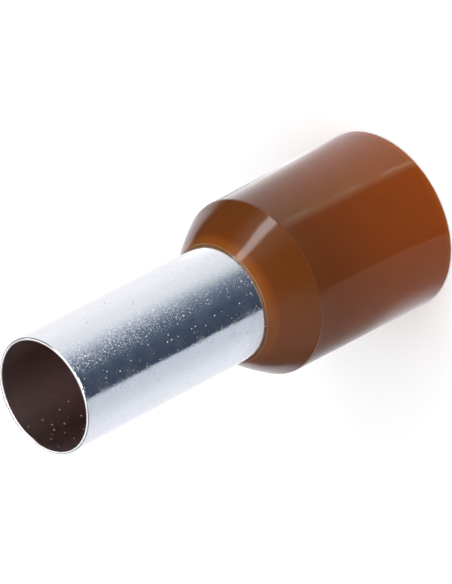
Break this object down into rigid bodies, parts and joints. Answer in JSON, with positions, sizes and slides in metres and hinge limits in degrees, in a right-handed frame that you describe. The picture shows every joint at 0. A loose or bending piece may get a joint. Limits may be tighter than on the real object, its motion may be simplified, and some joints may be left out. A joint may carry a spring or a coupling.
{
  "type": "wire ferrule",
  "caption": "Insulated wire ferrule: a thin tinned copper crimp tube, open at its mouth, held in the cone of a brown plastic collar that takes the wire's insulation.",
  "frame": {"origin": "centre of the collar's flat rear rim, on which the ferrule stands", "axes": "+Z along the axis, from the collar's rear rim towards the metal tube's mouth; X and Y are any two directions square to it"},
  "size_m": [0.012, 0.012, 0.0305],
  "materials": {
    "tinned_copper": "bright tin plate with fine pits and specks",
    "brown_plastic": "smooth moulded gloss, slightly translucent where thin"
  },
  "bodies": {
    "root": {"metal_sleeve": "tinned_copper", "insulating_collar": "brown_plastic"}
  },
  "joints": []
}
